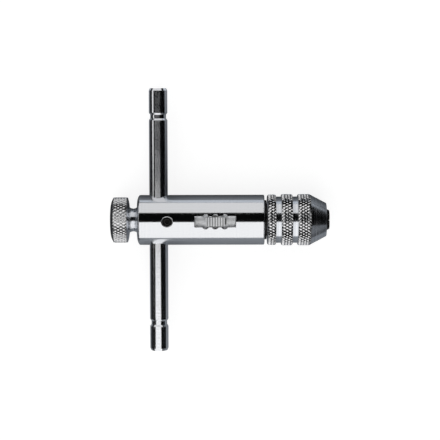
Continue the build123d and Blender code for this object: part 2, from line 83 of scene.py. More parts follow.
# %% [markdown]
# Knurling is pressed into the metal by two wheels, which leave two families of crossed
# grooves with small pyramids between them. It could be painted on with a bump texture, but
# then the outline of the sleeve would stay smooth and the sparkle would look flat. Here each
# pyramid is five faces: four slopes and a small worn flat on top, laid out on the lattice
# where the grooves cross. The grooves slant about 30 degrees, so the pyramids are long along
# the tool and narrow around it. That stays light, and every facet catches its own light.

# %% A knurled band
flat_share = 0.4
end_slope_length = 0.25


def on_axis_circle(x, radius, angle):
    """A point at a station along the tool, in metres."""
    return Vector((x * mm, radius * mm * math.cos(angle), radius * mm * math.sin(angle)))


def uncut(x):
    """The line of a band that nothing cuts down."""
    return math.inf


def knurl_band(bm, start, end, root, crest, around, pitch, line=uncut):
    """Adds pyramids between two stations. The line gives the highest radius at a station."""
    rows = max(2, round(2 * (end - start) / pitch))
    row_length = (end - start) / rows
    turn = 2 * math.pi / around

    def corner(column, row, height=0.0):
        """A point that is on the root at height 0 and on the crest at height 1."""
        x = start + row * row_length
        end_slope = root + min(x - start, end - x) / end_slope_length * (crest - root)
        radius = min(root + height * (crest - root), end_slope, line(x))
        return bm.verts.new(on_axis_circle(x, max(radius, root), column * turn))

    def pyramid(middle, row):
        """Slopes and a flat. At a band's end they have more corners, to meet the lathe's ring."""
        left, right = corner(middle - 0.5, row), corner(middle + 0.5, row)
        low_flat = corner(middle - flat_share / 2, row, 1.0)
        high_flat = corner(middle + flat_share / 2, row, 1.0)
        flats = []
        on_left, on_middle, on_right = [], [], []
        if row in (0, rows):
            on_left = [corner(middle - 0.5 + flat_share / 2, row)]
            on_middle = [corner(middle, row)]
            on_right = [corner(middle + 0.5 - flat_share / 2, row)]
        for step in (-1, 1):
            if 0 <= row + step <= rows:
                tip = corner(middle, row + step)
                flat = corner(middle, row + step * flat_share, 1.0)
                bm.faces.new((left, tip, flat, low_flat, *on_left))
                bm.faces.new((tip, right, *on_right, high_flat, flat))
                flats.append(flat)
        bm.faces.new((low_flat, flats[0], high_flat, *flats[1:], *on_middle))

    for row in range(rows + 1):
        for column in range(around):
            pyramid(column + (0.5 if row % 2 == 0 else 0.0), row)
    return rows * around


def lattice_angles(around):
    """The angles of a band's corners and flats, for the turned rings that meet its ends."""
    half = flat_share / 2
    shares = (0, half, 0.5 - half, 0.5, 0.5 + half, 1 - half)
    return [(i + share) * 2 * math.pi / around for i in range(around) for share in shares]


# %% [markdown]
# Everything round on this tool is turned on a lathe, so a lathe is the natural way to make
# it: an outline of stations and radii is spun about the tool's axis. Parts that meet are
# welded, so that a piece is one closed surface. Edges sharper than 18 degrees are kept crisp
# and the turned faces are smooth, because chrome shows each facet that is left by mistake.

# %% The lathe
crisp_angle = math.radians(18)
weld_distance = 0.001 * mm


def even_angles(segments):
    """The angles of a ring that meets no knurling."""
    return [2 * math.pi * i / segments for i in range(segments)]


def bridge(bm, rings):
    """Joins each ring to the next with smooth faces. At the axis a ring is one point."""
    for first, second in zip(rings, rings[1:]):
        for i in range(len(first)):
            j = (i + 1) % len(first)
            face = []
            for vertex in (first[i], second[i], second[j], first[j]):
                if vertex not in face:
                    face.append(vertex)
            bm.faces.new(face).smooth = True


def spin(bm, outline, angles):
    """Spins an outline of (station, radius) points in millimetres about the tool's axis."""
    rings = []
    for x, radius in outline:
        if radius == 0:
            rings.append([bm.verts.new((x * mm, 0, 0))] * len(angles))
        else:
            rings.append([bm.verts.new(on_axis_circle(x, radius, angle)) for angle in angles])
    bridge(bm, rings)
    return rings[-1]


def mesh_piece(name, bm):
    """Welds the working mesh where its parts meet, marks sharp edges and makes an object."""
    bmesh.ops.remove_doubles(bm, verts=bm.verts, dist=weld_distance)
    bmesh.ops.recalc_face_normals(bm, faces=bm.faces)
    for edge in bm.edges:
        if len(edge.link_faces) == 2 and edge.calc_face_angle(0) > crisp_angle:
            edge.smooth = False
    mesh = bpy.data.meshes.new(name)
    bm.to_mesh(mesh)
    bm.free()
    piece = bpy.data.objects.new(name, mesh)
    bpy.context.scene.collection.objects.link(piece)
    return piece


# %% [markdown]
# The chuck sleeve closes the jaws. The user grips it on three knurled bands, parted by two
# plain grooves, and its front is a plain turned cone. The solid has the bands smooth at the
# height of the knurl's crests, so the sleeve is made again here: the lathe turns what lies
# between the bands, and the knurled bands close it. Where the rear chamfer and the cone cut
# across the knurl, they also cut its pyramids down, as the lathe did.

# %% Sizes of the chuck sleeve
rear_band = 3.3
middle_band = 4.25
front_band = 4.35
groove_width = 2.0
groove_depth = 0.95
sleeve_wall = 1.4
rear_band_drop = 0.15
nose_radius = 6.4
nose_edge = 0.2
mouth_radius = 4.14
cone_angle = math.radians(25.3)
chamfer_length = 0.4
chamfer_drop = 0.5
sleeve_knurl_depth = 0.3
sleeve_knurl_around = 50
sleeve_knurl_pitch = 2.0

sleeve_low, sleeve_high = station_box("chuck_sleeve")
sleeve_rear = sleeve_low.x
sleeve_mouth = sleeve_high.x
sleeve_crest = sleeve_high.y
sleeve_root = sleeve_crest - sleeve_knurl_depth
rear_crest = sleeve_crest - rear_band_drop
rear_root = rear_crest - sleeve_knurl_depth
groove_floor = sleeve_crest - groove_depth
bore = groove_floor - sleeve_wall
bore_front = sleeve_mouth - (bore - mouth_radius) / math.tan(cone_angle)
rear_groove = sleeve_rear + rear_band
middle_start = rear_groove + groove_width
front_groove = middle_start + middle_band
front_start = front_groove + groove_width
cone_start = front_start + front_band
cone_slope = (sleeve_crest - nose_radius) / (sleeve_mouth - cone_start)
cone_at_root = cone_start + sleeve_knurl_depth / cone_slope
chamfer_slope = chamfer_drop / chamfer_length
chamfer_at_root = sleeve_rear + chamfer_length - sleeve_knurl_depth / chamfer_slope
print("sleeve from", round(sleeve_rear, 2), "to", round(sleeve_mouth, 2),
      "with its cone from", round(cone_start, 2))


# %% The chuck sleeve
def chamfer_line(x):
    """The radius of the rear chamfer's cut at a station."""
    return rear_crest + (x - sleeve_rear - chamfer_length) * chamfer_slope


def cone_line(x):
    """The radius of the cone's cut at a station."""
    return sleeve_crest - (x - cone_start) * cone_slope


def groove_outline(start, end, root_before, root_after):
    """A plain groove between two bands."""
    return [(start, root_before), (start, groove_floor), (end, groove_floor), (end, root_after)]


def ends_outline():
    """From the front band over the cone, the mouth, the bore and the rear to the rear band."""
    return [
        (cone_at_root, sleeve_root),
        (sleeve_mouth - nose_edge, nose_radius),
        (sleeve_mouth, nose_radius - nose_edge),
        (sleeve_mouth, mouth_radius),
        (bore_front, bore),
        (sleeve_rear, bore),
        (sleeve_rear, rear_crest - chamfer_drop),
        (chamfer_at_root, rear_root),
    ]


def make_sleeve():
    """The turned parts of the sleeve and the three bands that close them."""
    bm = bmesh.new()
    between_bands = (
        groove_outline(rear_groove, middle_start, rear_root, sleeve_root),
        groove_outline(front_groove, front_start, sleeve_root, sleeve_root),
        ends_outline(),
    )
    for outline in between_bands:
        spin(bm, outline, lattice_angles(sleeve_knurl_around))
    bands = (
        (chamfer_at_root, rear_groove, rear_root, chamfer_line),
        (middle_start, front_groove, sleeve_root, uncut),
        (front_start, cone_at_root, sleeve_root, cone_line),
    )
    pyramids = 0
    for start, end, root, line in bands:
        pyramids += knurl_band(bm, start, end, root, root + sleeve_knurl_depth,
                               sleeve_knurl_around, sleeve_knurl_pitch, line)
    print("sleeve pyramids:", pyramids)
    return mesh_piece("sleeve_knurled", bm)


sleeve = make_sleeve()
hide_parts("chuck_sleeve")
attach(sleeve, "sleeve")

# %% [markdown]
# The clamp screw is one turned piece: a knurled knob with a domed face at each end, a waisted
# neck and a threaded stem. The domes and the neck are arcs, made from a formula. The stem
# carries a real helical thread, which shows when the screw is backed out. A thread could be
# a stack of rings, but a helix costs no more: each point's radius follows how far it has
# climbed in its turn.

# %% Sizes of the clamp screw
knob_width = 7.0
crown_length = 1.1
crown_drop = 4.4
crown_bow = 0.4
front_crown_length = 0.6
front_crown_bow = 0.15
neck_length = 3.1
neck_radius = 4.35
neck_flare = 0.6
stem_radius = 2.95
thread_pitch = 1.0
thread_depth = 0.5
screw_nose_length = 0.8
screw_nose_radius = 1.0
knob_knurl_depth = 0.22
knob_knurl_around = 44
knob_knurl_pitch = 2.0
arc_steps = 14
thread_steps = 10
thread_segments = 2 * knob_knurl_around

screw_low, screw_high = station_box("clamp_screw")
knob_rear = screw_low.x
knob_front = knob_rear + knob_width
knob_crest = screw_high.y
knob_root = knob_crest - knob_knurl_depth
knurl_rear = knob_rear + crown_length
knurl_front = knob_front - front_crown_length
neck_front = knob_front + neck_length
neck_end = neck_radius + neck_flare
screw_nose = screw_high.x
stem_front = screw_nose - screw_nose_length
print("knob from", round(knob_rear, 2), "to", round(knob_front, 2),
      "and stem to", round(stem_front, 2))


# %% Arcs and a thread
def arc_through(first, middle, last):
    """Points along the circle through three points, by its centre and angles."""
    (ax, ay), (bx, by), (cx, cy) = first, middle, last
    d = 2 * (ax * (by - cy) + bx * (cy - ay) + cx * (ay - by))
    squares = [x * x + y * y for x, y in (first, middle, last)]
    centre_x = (squares[0] * (by - cy) + squares[1] * (cy - ay) + squares[2] * (ay - by)) / d
    centre_y = (squares[0] * (cx - bx) + squares[1] * (ax - cx) + squares[2] * (bx - ax)) / d
    radius = math.hypot(ax - centre_x, ay - centre_y)
    begin = math.atan2(ay - centre_y, ax - centre_x)
    sweep = math.atan2(cy - centre_y, cx - centre_x) - begin
    sweep = (sweep + math.pi) % (2 * math.pi) - math.pi
    angles = [begin + sweep * step / arc_steps for step in range(arc_steps + 1)]
    return [(centre_x + radius * math.cos(a), centre_y + radius * math.sin(a)) for a in angles]


def helical_thread(bm, start, end):
    """A V thread between two stations, fading out at both ends."""
    rows = round((end - start) / thread_pitch * thread_steps)
    rings = []
    for row in range(rows + 1):
        x = start + (end - start) * row / rows
        fade = min(1.0, 2 * (x - start) / thread_pitch, 2 * (end - x) / thread_pitch)
        ring = []
        for i in range(thread_segments):
            turn = i / thread_segments
            climb = (x / thread_pitch - turn) % 1.0
            drop = 1 - abs(2 * climb - 1)
            radius = stem_radius - thread_depth * drop * max(fade, 0.0)
            ring.append(bm.verts.new(on_axis_circle(x, radius, 2 * math.pi * turn)))
        rings.append(ring)
    bridge(bm, rings)


def flat_ring(bm, wide, narrow):
    """The flat ring between a circle of points and a narrower one that has fewer of them."""
    share = len(wide) // len(narrow)
    for i, point in enumerate(narrow):
        outer = [wide[(i * share + step) % len(wide)] for step in range(share + 1)]
        bm.faces.new((*outer, narrow[(i + 1) % len(narrow)], point)).smooth = True


# %% The clamp screw
def knob_outline():
    """The knob's rear face and its dome, down to the knurl's root."""
    dome = arc_through(
        (knob_rear, knob_crest - crown_drop),
        (knob_rear + crown_length / 2 - crown_bow, knob_crest - crown_drop / 2),
        (knurl_rear, knob_crest),
    )
    return [(knob_rear, 0), *dome, (knurl_rear, knob_root)]


def neck_outline():
    """The dome on the knob's front and the waisted neck."""
    dome = arc_through(
        (knurl_front, knob_crest),
        (knob_front - front_crown_length / 2 + front_crown_bow, (knob_crest + neck_end) / 2),
        (knob_front, neck_end),
    )
    waist = arc_through(
        (knob_front, neck_end),
        ((knob_front + neck_front) / 2, neck_radius),
        (neck_front, neck_end),
    )
    return [(knurl_front, knob_root), *dome, *waist[1:]]


def nose_outline():
    """The short pin at the stem's end, which pushes the clamp pad."""
    return [
        (stem_front, stem_radius),
        (stem_front, screw_nose_radius),
        (screw_nose, screw_nose_radius),
        (screw_nose, 0),
    ]


def make_clamp_screw():
    """Knob, neck, thread and nose, welded into one piece."""
    bm = bmesh.new()
    around_knob = lattice_angles(knob_knurl_around)
    around_stem = even_angles(thread_segments)
    spin(bm, knob_outline(), around_knob)
    neck = spin(bm, neck_outline(), around_knob)
    stem = spin(bm, [(neck_front, stem_radius)], around_stem)
    flat_ring(bm, neck, stem)
    helical_thread(bm, neck_front, stem_front)
    spin(bm, nose_outline(), around_stem)
    pyramids = knurl_band(bm, knurl_rear, knurl_front, knob_root, knob_crest,
                          knob_knurl_around, knob_knurl_pitch)
    print("knob pyramids:", pyramids)
    return mesh_piece("clamp_screw_knurled", bm)


screw = make_clamp_screw()
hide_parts("clamp_screw")
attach(screw, "screw")

# %% [markdown]
# A material is a tree of nodes, and the same few kinds of node come back in all of them. A
# helper for each kind makes a tree read like a recipe. A socket of such a node may be linked
# to another socket or hold a plain value, and the helpers take either.

# %% Helpers for shader nodes
rounding_samples = 6


def feed(tree, socket, value):
    """Links a socket to another one, or gives it a plain value."""
    if isinstance(value, bpy.types.NodeSocket):
        tree.links.new(value, socket)
    else:
        socket.default_value = value


def math_node(tree, operation, first, second):
    """The result of a Math node."""
    node = tree.nodes.new("ShaderNodeMath")
    node.operation = operation
    feed(tree, node.inputs[0], first)
    feed(tree, node.inputs[1], second)
    return node.outputs[0]


def vector_node(tree, operation, first, second):
    """The outputs of a Vector Math node."""
    node = tree.nodes.new("ShaderNodeVectorMath")
    node.operation = operation
    feed(tree, node.inputs[0], first)
    feed(tree, node.inputs[1], second)
    return node.outputs


def noise(tree, place, scale, detail, distortion=0.0, along_line=False):
    """The value of a noise texture, in space or along a line."""
    node = tree.nodes.new("ShaderNodeTexNoise")
    if along_line:
        node.noise_dimensions = "1D"
    feed(tree, node.inputs["W" if along_line else "Vector"], place)
    feed(tree, node.inputs["Scale"], scale)
    feed(tree, node.inputs["Detail"], detail)
    feed(tree, node.inputs["Distortion"], distortion)
    return node.outputs["Fac"]


def spread(tree, value, low, high, from_low=0.3, from_high=0.7, smooth=False):
    """Maps a value to a range. The usual start is the middle of a noise's own range."""
    node = tree.nodes.new("ShaderNodeMapRange")
    if smooth:
        node.interpolation_type = "SMOOTHSTEP"
    feed(tree, node.inputs["Value"], value)
    feed(tree, node.inputs["From Min"], from_low)
    feed(tree, node.inputs["From Max"], from_high)
    feed(tree, node.inputs["To Min"], low)
    feed(tree, node.inputs["To Max"], high)
    return node.outputs["Result"]


def mix_colours(tree, mask, first, second):
    """A colour that goes from the first to the second as the mask goes from 0 to 1."""
    node = tree.nodes.new("ShaderNodeMix")
    node.data_type = "RGBA"
    feed(tree, node.inputs["Factor"], mask)
    for label, colour in (("A", first), ("B", second)):
        feed(tree, node.inputs[label], (*colour, 1) if isinstance(colour, tuple) else colour)
    return node.outputs["Result"]


def split_place(tree, place):
    """The X, Y and Z of a place."""
    node = tree.nodes.new("ShaderNodeSeparateXYZ")
    feed(tree, node.inputs[0], place)
    return node.outputs


def rounded_normal(tree, radius, samples=rounding_samples):
    """The normal that the surface would have if its edges were rounded to a radius."""
    node = tree.nodes.new("ShaderNodeBevel")
    node.samples = samples
    feed(tree, node.inputs["Radius"], radius * mm)
    return node.outputs[0]


# %% [markdown]
# The finishes share a few effects, so each effect is a node group of its own, with named
# inputs and outputs that are only values. Turning leaves fine rings about the axis, and
# grinding leaves a fine grain. Hands leave soft smudges, knurled grooves are kept darker
# than their crests with painted shade, and edges lose their black first. Every group works
# in the piece's own coordinates, so nothing slides when the camera moves.

# %% Node groups for tool marks, smudges, grooves and worn edges
def new_group(name, inputs, outputs):
    """An empty shader node group with its named sockets, and its two end nodes."""
    tree = bpy.data.node_groups.new(name, "ShaderNodeTree")
    for label, kind, value in inputs:
        socket = tree.interface.new_socket(label, in_out="INPUT", socket_type=kind)
        if value is not None:
            socket.default_value = value
    for label, kind in outputs:
        tree.interface.new_socket(label, in_out="OUTPUT", socket_type=kind)
    start = tree.nodes.new("NodeGroupInput").outputs
    end = tree.nodes.new("NodeGroupOutput").inputs
    return tree, start, end


def make_turned_lines():
    """Fine rings: noise that changes only along the axis, coarse and fine together."""
    tree, start, end = new_group(
        "Turned lines",
        [("Along", "NodeSocketFloat", None), ("Lines per mm", "NodeSocketFloat", 8.0)],
        [("Height", "NodeSocketFloat"), ("Tone", "NodeSocketFloat")],
    )
    millimetres = math_node(tree, "DIVIDE", start["Along"], mm)
    fine_place = math_node(tree, "MULTIPLY", millimetres, start["Lines per mm"])
    fine = noise(tree, fine_place, scale=1.0, detail=3.0, along_line=True)
    broad = noise(tree, millimetres, scale=1.6, detail=5.0, along_line=True)
    tree.links.new(fine, end["Height"])
    tree.links.new(broad, end["Tone"])
    return tree


def make_grain():
    """Ground grain: fine noise drawn out along one direction by its stretch."""
    tree, start, end = new_group(
        "Ground grain",
        [("Place", "NodeSocketVector", None), ("Stretch", "NodeSocketVector", (1, 1, 1))],
        [("Height", "NodeSocketFloat"), ("Tone", "NodeSocketFloat")],
    )
    scaled = vector_node(tree, "MULTIPLY", start["Place"], start["Stretch"])["Vector"]
    tree.links.new(noise(tree, scaled, scale=9000.0, detail=2.0), end["Height"])
    tree.links.new(noise(tree, scaled, scale=1700.0, detail=4.0), end["Tone"])
    return tree


def make_smudges():
    """Soft marks of handling, some millimetres across, from 0 where it is clean to 1."""
    tree, start, end = new_group(
        "Smudges",
        [("Place", "NodeSocketVector", None), ("Amount", "NodeSocketFloat", 0.5)],
        [("Mask", "NodeSocketFloat")],
    )
    patches = noise(tree, start["Place"], scale=160.0, detail=5.0, distortion=0.6)
    marks = spread(tree, patches, 0, 1, from_low=0.42, from_high=0.72, smooth=True)
    tree.links.new(math_node(tree, "MULTIPLY", marks, start["Amount"]), end["Mask"])
    return tree


def make_groove_mask():
    """From 0 in a knurl's grooves to 1 on its crests, by the distance from the tool's axis."""
    tree, start, end = new_group(
        "Groove mask",
        [("Place", "NodeSocketVector", None), ("Dark radius", "NodeSocketFloat", 0.0),
         ("Bright radius", "NodeSocketFloat", 1.0)],
        [("Mask", "NodeSocketFloat")],
    )
    split = split_place(tree, start["Place"])
    squares = [math_node(tree, "POWER", split[axis], 2.0) for axis in ("Y", "Z")]
    radius = math_node(tree, "SQRT", math_node(tree, "ADD", *squares), 0.0)
    mask = spread(tree, radius, 0, 1, from_low=start["Dark radius"],
                  from_high=start["Bright radius"])
    tree.links.new(mask, end["Mask"])
    return tree


def make_edge_wear():
    """Worn edges: where a rounded normal turns away from the true one, broken up by noise."""
    tree, start, end = new_group(
        "Edge wear",
        [("Rounded", "NodeSocketVector", None), ("Place", "NodeSocketVector", None),
         ("Amount", "NodeSocketFloat", 1.0)],
        [("Mask", "NodeSocketFloat")],
    )
    normal = tree.nodes.new("ShaderNodeNewGeometry").outputs["Normal"]
    agreement = vector_node(tree, "DOT_PRODUCT", start["Rounded"], normal)["Value"]
    bend = math_node(tree, "SUBTRACT", 1.0, agreement)
    patches = noise(tree, start["Place"], scale=1400.0, detail=4.0)
    broken = math_node(tree, "MULTIPLY", bend, patches)
    worn = spread(tree, broken, 0, 1, from_low=0.004, from_high=0.09)
    tree.links.new(math_node(tree, "MULTIPLY", worn, start["Amount"]), end["Mask"])
    return tree


turned_lines = make_turned_lines()
ground_grain = make_grain()
smudges = make_smudges()
groove_mask = make_groove_mask()
edge_wear = make_edge_wear()
print("node groups:", [group.name for group in bpy.data.node_groups])


# %% Helpers for a material
def start_material(name, metallic=1.0):
    """A material with its shader, and the piece's own coordinates to drive it."""
    material = bpy.data.materials.new(name)
    material.use_nodes = True
    tree = material.node_tree
    shader = tree.nodes["Principled BSDF"]
    shader.inputs["Metallic"].default_value = metallic
    place = tree.nodes.new("ShaderNodeTexCoord").outputs["Object"]
    return material, tree, shader, place


def group_node(tree, group, **values):
    """Places a node group and sets or links its inputs by name."""
    node = tree.nodes.new("ShaderNodeGroup")
    node.node_tree = group
    for label, value in values.items():
        feed(tree, node.inputs[label.replace("_", " ")], value)
    return node.outputs


def bump(tree, shader, height, depth, edge_radius=0.0):
    """Raises the surface by a depth in metres where the height is 1, on softened edges."""
    node = tree.nodes.new("ShaderNodeBump")
    node.inputs["Distance"].default_value = depth
    tree.links.new(height, node.inputs["Height"])
    tree.links.new(node.outputs["Normal"], shader.inputs["Normal"])
    if edge_radius > 0:
        tree.links.new(rounded_normal(tree, edge_radius), node.inputs["Normal"])


def paint(piece, *materials):
    """Replaces a piece's material slots."""
    piece.data.materials.clear()
    for material in materials:
        piece.data.materials.append(material)


# %% [markdown]
# Chrome plate is nearly a mirror: what it shows is the room. Its own colour is a cool light
# grey, and all the character is in how far the tool marks blur the picture. Rings left by
# turning blur it along the axis and leave it sharp round it, so the shader is anisotropic,
# with its tangent along the axis. One recipe serves the barrel, the bar and the turned faces
# of the chuck and the knob, with its own marks and blur for each. The barrel also has a
# dark line of painted shade on the near edges of the switch window and the small hole, where
# their walls lie in shadow. An edge is found where the rounded normal leaves the true one.

# %% Chrome, plain and turned
quarter_turn = 0.25
smudge_amount = 0.6
smudge_blur = 0.05
# The colour and reach of the painted shade line on the barrel's near window edges.
edge_shade_colour = (0.01, 0.01, 0.011)
shade_line_radius = 0.35
shade_line_full = 0.94
shade_line_none = 0.995
top_share = 0.8
barrel_radius = station_box("body_shell")[1].y


def window_edge_shade(tree, split):
    """Painted shade: a dark line on the edges that were cut into the top of the barrel, on the
    near side.
    """
    normal = tree.nodes.new("ShaderNodeNewGeometry").outputs["True Normal"]
    rounded = rounded_normal(tree, shade_line_radius)
    agreement = vector_node(tree, "DOT_PRODUCT", rounded, normal)["Value"]
    at_edge = spread(tree, agreement, 1, 0, from_low=shade_line_full, from_high=shade_line_none)
    on_top = math_node(tree, "GREATER_THAN", split["Z"], top_share * barrel_radius * mm)
    on_near_side = math_node(tree, "LESS_THAN", split["Y"], 0.0)
    return math_node(tree, "MULTIPLY", at_edge, math_node(tree, "MULTIPLY", on_top, on_near_side))


def chrome(name, light, dark, axis, lines, blur, mark_depth, anisotropy, edge_radius=0.0,
           speckle=0.0, shaded_edges=False):
    """Plated metal with turned rings about an axis."""
    material, tree, shader, place = start_material(name)
    split = split_place(tree, place)
    rings = group_node(tree, turned_lines, Along=split[axis], Lines_per_mm=lines)
    marks = group_node(tree, smudges, Place=place, Amount=smudge_amount)
    tone = spread(tree, rings["Tone"], 0, 1)
    if speckle > 0:
        grain = group_node(tree, ground_grain, Place=place, Stretch=(2, 2, 2))
        tone = math_node(tree, "ADD", tone, spread(tree, grain["Tone"], -speckle, speckle))
    colour = mix_colours(tree, tone, light, dark)
    # Painted shade: a dark line on the near edges of the window and the hole, where their walls
    # lie in shadow.
    if shaded_edges:
        colour = mix_colours(tree, window_edge_shade(tree, split), colour, edge_shade_colour)
    tree.links.new(colour, shader.inputs["Base Color"])
    ring_blur = spread(tree, rings["Height"], *blur)
    mark_blur = math_node(tree, "MULTIPLY", marks["Mask"], smudge_blur)
    tree.links.new(math_node(tree, "ADD", ring_blur, mark_blur), shader.inputs["Roughness"])
    shader.inputs["Anisotropic"].default_value = anisotropy
    shader.inputs["Anisotropic Rotation"].default_value = quarter_turn
    tangent = tree.nodes.new("ShaderNodeTangent")
    tangent.direction_type = "RADIAL"
    tangent.axis = axis
    tree.links.new(tangent.outputs[0], shader.inputs["Tangent"])
    bump(tree, shader, rings["Height"], mark_depth, edge_radius)
    return material


# The barrel carries the painted shade line on its window's near edges.
barrel_chrome = chrome(
    "barrel chrome", light=(0.82, 0.83, 0.85), dark=(0.80, 0.81, 0.835), axis="X", lines=7.0,
    blur=(0.09, 0.15), mark_depth=4e-7, anisotropy=0.75, edge_radius=0.4, shaded_edges=True,
)
bar_chrome = chrome(
    "bar chrome", light=(0.92, 0.93, 0.95), dark=(0.80, 0.81, 0.84), axis="Y", lines=9.0,
    blur=(0.12, 0.19), mark_depth=2e-7, anisotropy=0.7, speckle=0.8,
)
turned_chrome = chrome(
    "turned chrome", light=(0.93, 0.95, 0.98), dark=(0.66, 0.68, 0.72), axis="X", lines=2.4,
    blur=(0.11, 0.30), mark_depth=4.5e-6, anisotropy=0.8,
)
paint(nodes["body_shell"], barrel_chrome)
paint(nodes["sliding_bar"], bar_chrome)
print("chromes:", [material.name for material in (barrel_chrome, bar_chrome, turned_chrome)])

# %% [markdown]
# The knurled bands are plated like the rest, but their grooves are darkened with painted
# shade, while the worn flats on the crests are bright. The groove mask tells them apart by
# the distance from the tool's axis. The bands have their own crest heights, so the material
# is made by a function of the root and crest radii.

# %% Knurled chrome
# Where the painted shade in the grooves ends and the bright crests begin, as shares of the
# knurl's depth.
groove_shade_share = 0.1
bright_share = 0.6
knurl_bright = (0.96, 0.96, 0.97)


def knurled_chrome(name, root, crest, groove_shade_grey, blur):
    """Plated knurling with painted shade, a darker grey, in its grooves, between two radii."""
    material, tree, shader, place = start_material(name)
    depth = crest - root
    height = group_node(tree, groove_mask, Place=place,
                        Dark_radius=(root + groove_shade_share * depth) * mm,
                        Bright_radius=(root + bright_share * depth) * mm)
    grain = group_node(tree, ground_grain, Place=place)
    # Painted shade: the grooves get a darker grey than the crests.
    colour = mix_colours(tree, height["Mask"], (groove_shade_grey,) * 3, knurl_bright)
    tree.links.new(colour, shader.inputs["Base Color"])
    tree.links.new(spread(tree, grain["Tone"], *blur), shader.inputs["Roughness"])
    bump(tree, shader, grain["Height"], depth=5e-7)
    return material


def knurl_faces(piece, slot, front=math.inf):
    """Gives the flat-shaded pyramid faces behind a station their own slot."""
    count = 0
    for face in piece.data.polygons:
        if not face.use_smooth and face.center.x < front * mm:
            face.material_index = slot
            count += 1
    return count


sleeve_knurl = knurled_chrome("sleeve knurl", sleeve_root, sleeve_crest, groove_shade_grey=0.12,
                              blur=(0.10, 0.20))
rear_knurl = knurled_chrome("rear band knurl", rear_root, rear_crest, groove_shade_grey=0.06,
                            blur=(0.10, 0.20))
knob_knurl = knurled_chrome("knob knurl", knob_root, knob_crest, groove_shade_grey=0.20,
                            blur=(0.18, 0.30))
paint(sleeve, turned_chrome, sleeve_knurl, rear_knurl)
paint(screw, turned_chrome, knob_knurl)
knurled_count = knurl_faces(sleeve, 1) + knurl_faces(screw, 1)
rear_count = knurl_faces(sleeve, 2, rear_groove)
print("knurl faces:", knurled_count, "of them on the rear band:", rear_count)

# %% [markdown]
# The switch plate is bead blasted and nickel plated: a matt grey with a fine even grain. The
# grooves between the button's ribs and the corner at its foot are darkened with painted
# shade, found by their height and station.

# %% Matt nickel
rib_depth = 0.45
# The reach and strength of the painted shade in the rib grooves.
rib_shade_height = 0.2
rib_shade_margin = 0.05
rib_shade_strength = 0.5
# Where the painted shadow beside the button's foot lies and how it fades.
foot_distance = 3.6
foot_shadow_full = 0.2
foot_shadow_none = 0.9
foot_shadow_half_width = 0.9
foot_shadow_half_fade = 1.6
nickel_clean = (0.93, 0.94, 0.95)
nickel_touched = (0.80, 0.81, 0.83)
nickel_shade = (0.02, 0.02, 0.022)
nickel_blur = (0.34, 0.50)

plate_low, plate_high = station_box("switch_slider")
rib_floor = plate_high.z - rib_depth
foot_x = (plate_low.x + plate_high.x) / 2 + foot_distance


def rib_groove_shade(tree, split):
    """Painted shade in the grooves between the ribs, fading towards their tops."""
    low_down = spread(tree, split["Z"], 1, 0, from_low=rib_floor * mm,
                      from_high=(rib_floor + rib_shade_height) * mm)
    on_button = math_node(tree, "GREATER_THAN", split["Z"], (rib_floor - rib_shade_margin) * mm)
    in_groove = math_node(tree, "MULTIPLY", low_down, on_button)
    return math_node(tree, "MULTIPLY", in_groove, rib_shade_strength)


def foot_gap_shadow(tree, split):
    """Painted shadow in the corner beside the button's foot, where a narrow gap lies in shadow.
    """
    beside = math_node(tree, "GREATER_THAN", split["X"], foot_x * mm)
    near_foot = spread(tree, split["X"], 1, 0, from_low=(foot_x + foot_shadow_full) * mm,
                       from_high=(foot_x + foot_shadow_none) * mm)
    off_middle = math_node(tree, "ABSOLUTE", split["Y"], 0.0)
    behind_button = spread(tree, off_middle, 1, 0, from_low=foot_shadow_half_width * mm,
                           from_high=foot_shadow_half_fade * mm)
    in_corner = math_node(tree, "MULTIPLY", near_foot, behind_button)
    return math_node(tree, "MULTIPLY", in_corner, beside)


def matt_nickel():
    """Blasted nickel with smudges, and with painted shade in the rib grooves and beside the
    button's foot.
    """
    material, tree, shader, place = start_material("matt nickel", metallic=0.4)
    grain = group_node(tree, ground_grain, Place=place)
    marks = group_node(tree, smudges, Place=place, Amount=0.7)
    nickel = mix_colours(tree, marks["Mask"], nickel_clean, nickel_touched)
    split = split_place(tree, place)
    # Painted shade: the rib grooves and the corner beside the button's foot are darkened.
    painted_shade = math_node(tree, "MAXIMUM", rib_groove_shade(tree, split), foot_gap_shadow(tree, split))
    tree.links.new(mix_colours(tree, painted_shade, nickel, nickel_shade), shader.inputs["Base Color"])
    tree.links.new(spread(tree, grain["Tone"], *nickel_blur), shader.inputs["Roughness"])
    bump(tree, shader, grain["Height"], depth=4e-6, edge_radius=0.1)
    return material


paint(nodes["switch_slider"], matt_nickel())
print("button's ribs from", round(rib_floor, 2), "to", round(plate_high.z, 2), "mm")

# %% [markdown]
# The chuck's spindle, the jaws and the grub screw are blackened steel. Black oxide is a thin
# film, so it is dark but still glints, and it is rubbed bright on the edges.

# %% Black oxide
worn_edge_radius = 0.12
worn_edge_samples = 4
thick_film = (0.005, 0.005, 0.006)
thin_film = (0.014, 0.013, 0.012)
bare_edge = (0.35, 0.34, 0.33)
oxide_blur = (0.26, 0.44)


def black_oxide():
    """Blackened steel with worn edges."""
    material, tree, shader, place = start_material("black oxide", metallic=0.7)
    shader.inputs["Specular IOR Level"].default_value = 0.3
    rounded = rounded_normal(tree, worn_edge_radius, worn_edge_samples)
    wear = group_node(tree, edge_wear, Rounded=rounded, Place=place, Amount=0.5)
    grain = group_node(tree, ground_grain, Place=place)
    film = mix_colours(tree, spread(tree, grain["Tone"], 0, 1), thick_film, thin_film)
    colour = mix_colours(tree, wear["Mask"], film, bare_edge)
    tree.links.new(colour, shader.inputs["Base Color"])
    tree.links.new(spread(tree, grain["Tone"], *oxide_blur), shader.inputs["Roughness"])
    bump(tree, shader, grain["Height"], depth=2e-6)
    return material


